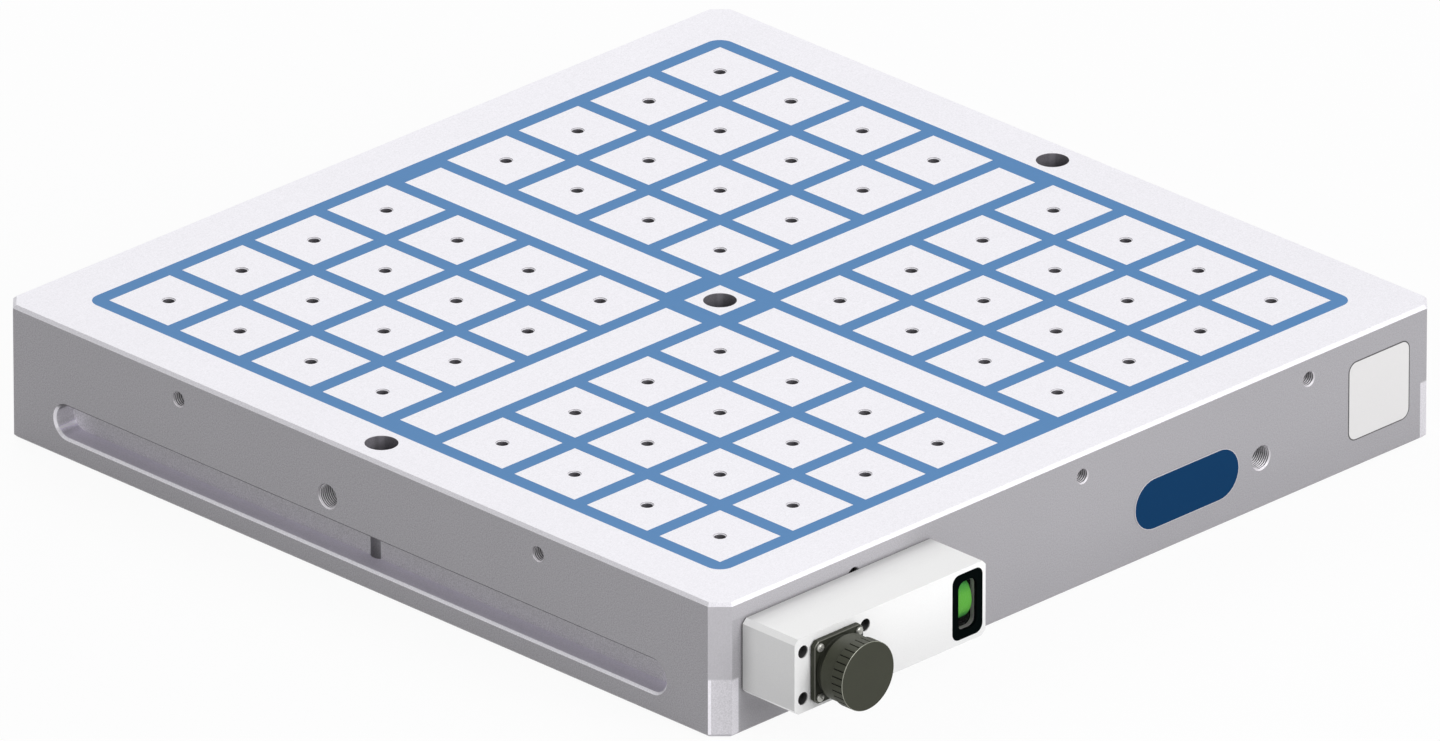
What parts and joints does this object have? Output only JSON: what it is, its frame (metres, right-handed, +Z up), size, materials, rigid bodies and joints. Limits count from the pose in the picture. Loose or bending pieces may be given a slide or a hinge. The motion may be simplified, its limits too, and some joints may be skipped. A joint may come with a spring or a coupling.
{
  "type": "magnetic chuck",
  "caption": "Square electropermanent magnetic chuck: steel plate with a grid of square poles set in blue resin, side clamp grooves and a connection box with capped socket and indicator.",
  "frame": {"origin": "centre of the plate's underside, on the axis of the middle mounting hole", "axes": "+Z up out of the work face, -Y towards the side that carries the connection box, +X to the right of someone who faces that side"},
  "size_m": [0.6, 0.6712, 0.086],
  "materials": {
    "ground_steel": "ground",
    "pole_steel": "ground",
    "potted_coil": "potted winding on a magnet",
    "side_magnet": "nickel plated",
    "blue_resin": "cast, ground flush",
    "box_paint": "satin",
    "seal_rubber": "matt",
    "olive_shell": "plated, dull",
    "olive_cap": "plated, dull",
    "insert_plastic": "moulded",
    "contact_brass": "plated",
    "bezel_plastic": "moulded",
    "clear_window": "clear",
    "cradle_steel": "bent sheet",
    "green_drum": "moulded",
    "red_drum": "moulded",
    "copper_winding": "enamelled wire",
    "lead_sheath": "matt"
  },
  "bodies": {
    "chuck": {"housing": "ground_steel", "pole_shoes": "pole_steel", "left_bar": "pole_steel", "right_bar": "pole_steel", "front_bar": "pole_steel", "rear_bar": "pole_steel", "centre_post": "pole_steel", "pole_coils": "potted_coil", "row_magnets": "side_magnet", "edge_magnets": "side_magnet", "column_magnets": "side_magnet", "top_resin": "blue_resin", "connection_box": "box_paint", "box_gasket": "seal_rubber", "flange_gasket": "seal_rubber", "connector_shell": "olive_shell", "connector_insert": "insert_plastic", "connector_pins": "contact_brass", "indicator_bezel": "bezel_plastic", "indicator_window": "clear_window", "indicator_cradle": "cradle_steel", "flip_core": "cradle_steel", "flip_coil": "copper_winding", "supply_lead": "lead_sheath"},
    "cap_advance_seal": {"cap_seal": "seal_rubber"},
    "cap": {"dust_cap": "olive_cap"},
    "state_drum": {"drum_axle": "cradle_steel", "green_half_drum": "green_drum", "red_half_drum": "red_drum"}
  },
  "joints": [
    {"name": "cap_advance", "type": "slide", "parent": "chuck", "child": "cap_advance_seal", "axis": [0, -1, 0], "range_m": [0, 0.0156]},
    {"name": "cap_turn", "type": "hinge", "parent": "cap_advance_seal", "child": "cap", "pos_m": [-0.25, -0.3618, 0.05], "axis": [0, -1, 0], "range_deg": [0, 3960]},
    {"name": "drum_turn", "type": "hinge", "parent": "chuck", "child": "state_drum", "pos_m": [-0.14, -0.3245, 0.05], "axis": [1, 0, 0], "range_deg": [0, 180]}
  ],
  "couplings": [
    {"joint": "cap_advance", "follows": "cap_turn", "m_per_rad": 0.00022457}
  ]
}
